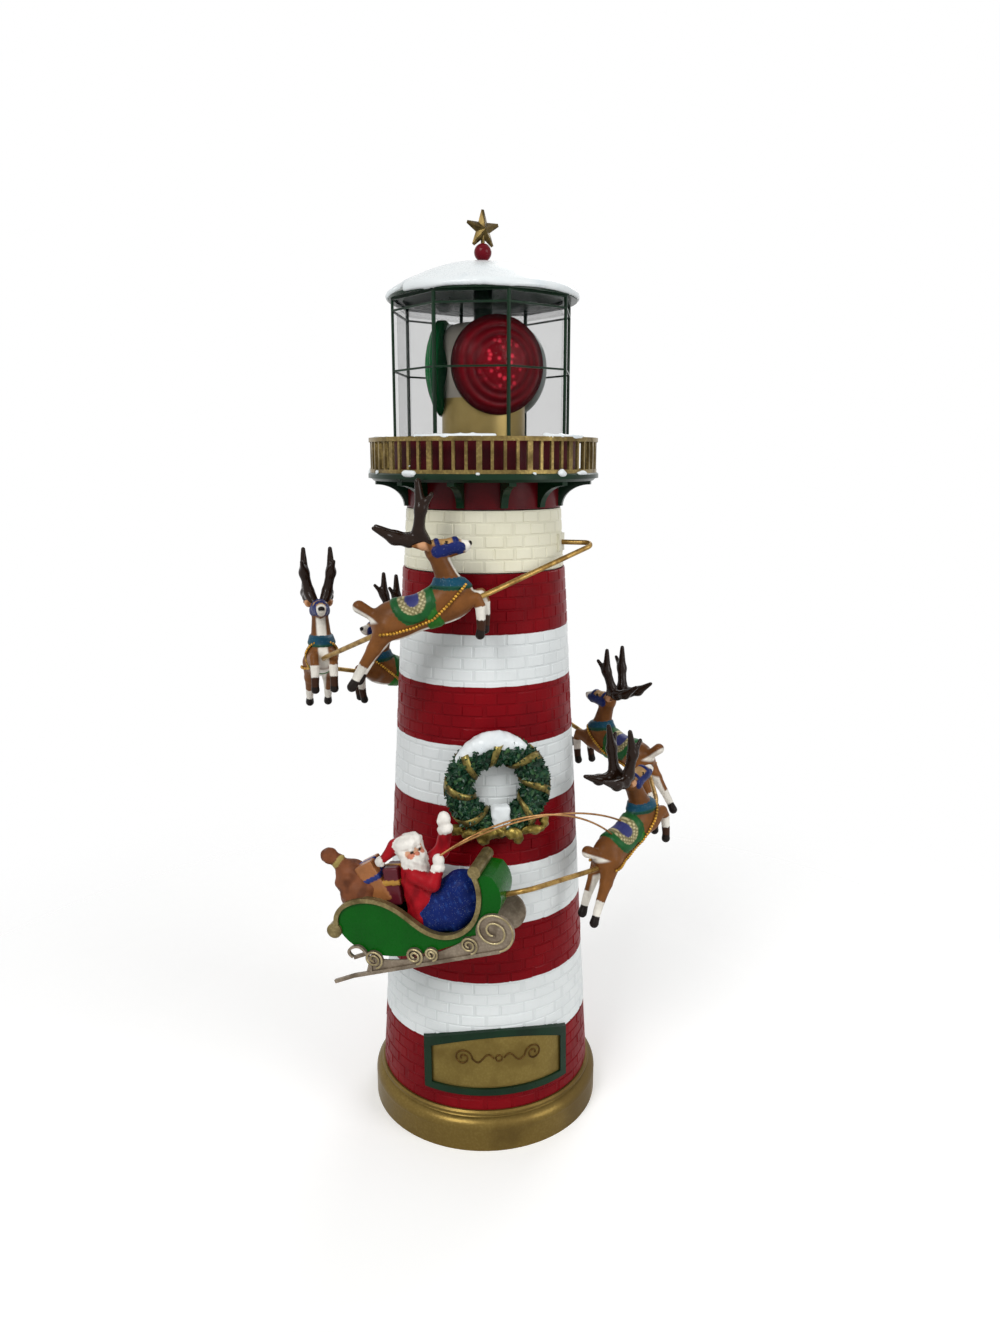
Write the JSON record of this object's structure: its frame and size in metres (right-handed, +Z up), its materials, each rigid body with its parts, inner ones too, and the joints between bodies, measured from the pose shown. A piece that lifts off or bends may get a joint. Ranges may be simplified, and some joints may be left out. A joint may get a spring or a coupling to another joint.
{
  "type": "lighted christmas lighthouse decoration",
  "caption": "Striped table lighthouse with a lit lantern and beacon lenses, and a sleigh and reindeer team on a spiral rod that a geared collar carries around the tower.",
  "frame": {"origin": "middle of the flat underside that stands on the table", "axes": "+Z up along the tower's axis, the plaque and wreath face -Y, the switch and inlet face +Y"},
  "size_m": [0.1927, 0.1843, 0.43],
  "materials": {
    "gold_foot": "antique gold paint",
    "dark_cover": "moulded",
    "screw_steel": "plated",
    "black_plastic": "moulded",
    "tower_paint": "painted in red and white bands",
    "dark_green": "paint",
    "gold_panel": "gold paint",
    "wreath_green": "paint",
    "bow_gold": "gold paint",
    "snow_white": "gloss paint",
    "inner_white": "moulded",
    "motor_steel": "plated",
    "cream_paint": "cream paint",
    "red_paint": "paint",
    "gold_paint": "antique gold paint",
    "pale_clear": "translucent",
    "red_clear": "translucent",
    "white_clear": "translucent",
    "green_clear": "translucent",
    "bulb_glass": "clear",
    "lantern_clear": "clear",
    "deer_brown": "painted",
    "antler_brown": "painted",
    "sleigh_green": "paint",
    "suit_red": "painted",
    "robe_blue": "painted",
    "sack_brown": "painted",
    "gift_paint": "painted",
    "brass_wire": "bright",
    "lead_cover": "insulated"
  },
  "bodies": {
    "tower": {"base_plinth": "gold_foot", "bottom_cover": "dark_cover", "cover_screws": "screw_steel", "power_jack": "black_plastic", "switch_body": "dark_cover", "tower_shell": "tower_paint", "plaque_frame": "dark_green", "plaque_panel": "gold_panel", "wreath": "wreath_green", "wreath_bow": "bow_gold", "wreath_snow": "snow_white", "drive_deck": "inner_white", "neck_screws": "screw_steel", "gear_motor": "motor_steel", "lamp_tube": "motor_steel", "lamp_holder": "motor_steel", "lamp_bulb": "bulb_glass", "gallery_corbel": "red_paint", "gallery_brackets": "dark_green", "gallery_deck": "dark_green", "gallery_railing": "gold_paint", "railing_snow": "snow_white", "lantern_curb": "red_paint", "lantern_glass": "lantern_clear", "lantern_frame": "dark_green", "roof_cap": "dark_green", "roof_snow": "snow_white", "finial_ball": "red_paint", "finial_star": "gold_paint", "power_lead": "lead_cover"},
    "flight": {"flight_collar": "cream_paint", "flight_rod": "brass_wire", "reindeer_1": "deer_brown", "reindeer_2": "deer_brown", "reindeer_3": "deer_brown", "reindeer_4": "deer_brown", "reindeer_5": "deer_brown", "reindeer_6": "deer_brown", "antlers": "antler_brown", "rein_wires": "brass_wire", "sleigh_tub": "sleigh_green", "sleigh_trim": "gold_paint", "sleigh_runners": "gold_paint", "sleigh_driver": "suit_red", "lap_robe": "robe_blue", "toy_sack": "sack_brown", "gift_boxes": "gift_paint"},
    "beacon": {"beacon_gear": "inner_white", "beacon_drum": "gold_paint", "lens_housing": "pale_clear", "red_lens": "red_clear", "clear_lens": "white_clear", "green_lens": "green_clear"},
    "pinion": {"motor_pinion": "inner_white"},
    "switch": {"switch_slider": "black_plastic"}
  },
  "joints": [
    {"name": "flight_spin", "type": "hinge", "parent": "tower", "child": "flight", "pos_m": [0, 0, 0.277], "axis": [0, 0, 1], "continuous": true},
    {"name": "beacon_spin", "type": "hinge", "parent": "tower", "child": "beacon", "pos_m": [0, 0, 0.277], "axis": [0, 0, 1], "continuous": true},
    {"name": "pinion_spin", "type": "hinge", "parent": "tower", "child": "pinion", "pos_m": [0, 0.025, 0.277], "axis": [0, 0, 1], "continuous": true},
    {"name": "power_switch", "type": "slide", "parent": "tower", "child": "switch", "axis": [1, 0, 0], "range_m": [-0.0015, 0.0015]}
  ],
  "couplings": [
    {"joint": "beacon_spin", "follows": "flight_spin", "ratio": -1.6316},
    {"joint": "pinion_spin", "follows": "flight_spin", "ratio": 5.1667}
  ]
}
